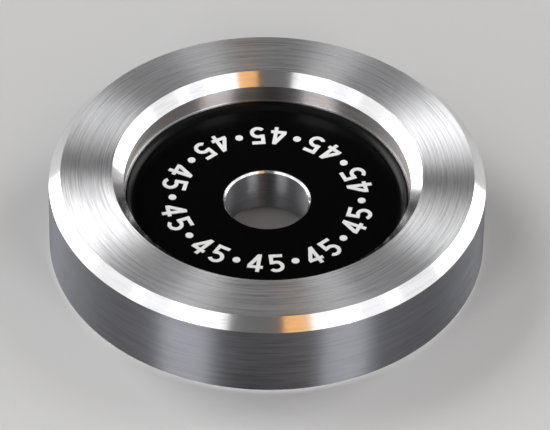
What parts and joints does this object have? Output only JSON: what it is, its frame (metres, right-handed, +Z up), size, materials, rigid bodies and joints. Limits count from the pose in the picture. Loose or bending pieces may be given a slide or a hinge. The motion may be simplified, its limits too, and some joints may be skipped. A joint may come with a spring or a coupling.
{
  "type": "record spindle adapter",
  "caption": "Turned aluminium ring that centres a large-hole record on a thin turntable spindle, with a shallow dished top.",
  "frame": {"origin": "middle of the base, on the bore's axis", "axes": "+Z up along the bore, out of the recess; +X to the right of the picture's view, +Y away from it"},
  "size_m": [0.038, 0.038, 0.008],
  "materials": {
    "turned_aluminium": "fine turned lines, bright cut chamfers",
    "black_face": "satin black",
    "white_ink": "printed ink"
  },
  "bodies": {
    "root": {"adapter_body": "turned_aluminium", "black_face": "black_face", "numeral_print": "white_ink"}
  },
  "joints": []
}
